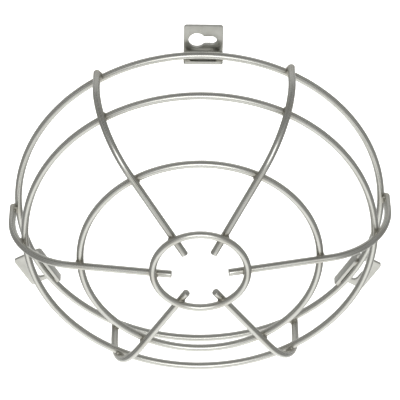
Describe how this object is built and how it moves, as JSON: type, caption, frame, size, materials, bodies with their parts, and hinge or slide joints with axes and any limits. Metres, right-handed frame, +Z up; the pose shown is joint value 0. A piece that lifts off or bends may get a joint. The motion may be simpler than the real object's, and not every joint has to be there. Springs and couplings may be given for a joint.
{
  "type": "wire lamp guard",
  "caption": "Round welded wire guard for a heat lamp, a shallow cage of rings and bent ribs carried by keyhole brackets that screw to a wall or ceiling.",
  "frame": {"origin": "middle of the circle of brackets, on the plane of the wall that the bracket plates lie on", "axes": "+Z up, with one bracket at the top. +Y into the wall, along the guard's own axis. The cage reaches out along -Y."},
  "size_m": [0.21, 0.0709, 0.2166],
  "materials": {
    "ring_wire": "bright drawn steel wire, satin",
    "rib_wire": "bright drawn steel wire, satin",
    "bracket_sheet": "rolled steel strip, satin",
    "weld_flash": "polished weld flash, slightly darker than the wire"
  },
  "bodies": {
    "root": {"base_ring": "ring_wire", "shoulder_ring": "ring_wire", "middle_ring": "ring_wire", "hub_ring": "ring_wire", "rib_1": "rib_wire", "rib_2": "rib_wire", "rib_3": "rib_wire", "rib_4": "rib_wire", "rib_5": "rib_wire", "rib_6": "rib_wire", "keyhole_bracket_1": "bracket_sheet", "keyhole_bracket_2": "bracket_sheet", "keyhole_bracket_3": "bracket_sheet", "bracket_weld_1_left": "weld_flash", "bracket_weld_1_right": "weld_flash", "bracket_weld_2_left": "weld_flash", "bracket_weld_2_right": "weld_flash", "bracket_weld_3_left": "weld_flash", "bracket_weld_3_right": "weld_flash", "base_weld_1": "weld_flash", "base_weld_2": "weld_flash", "base_weld_3": "weld_flash", "base_weld_4": "weld_flash", "base_weld_5": "weld_flash", "base_weld_6": "weld_flash", "shoulder_weld_1": "weld_flash", "shoulder_weld_2": "weld_flash", "shoulder_weld_3": "weld_flash", "shoulder_weld_4": "weld_flash", "shoulder_weld_5": "weld_flash", "shoulder_weld_6": "weld_flash", "middle_weld_1": "weld_flash", "middle_weld_2": "weld_flash", "middle_weld_3": "weld_flash", "middle_weld_4": "weld_flash", "middle_weld_5": "weld_flash", "middle_weld_6": "weld_flash", "hub_weld_1": "weld_flash", "hub_weld_2": "weld_flash", "hub_weld_3": "weld_flash", "hub_weld_4": "weld_flash", "hub_weld_5": "weld_flash", "hub_weld_6": "weld_flash"}
  },
  "joints": []
}
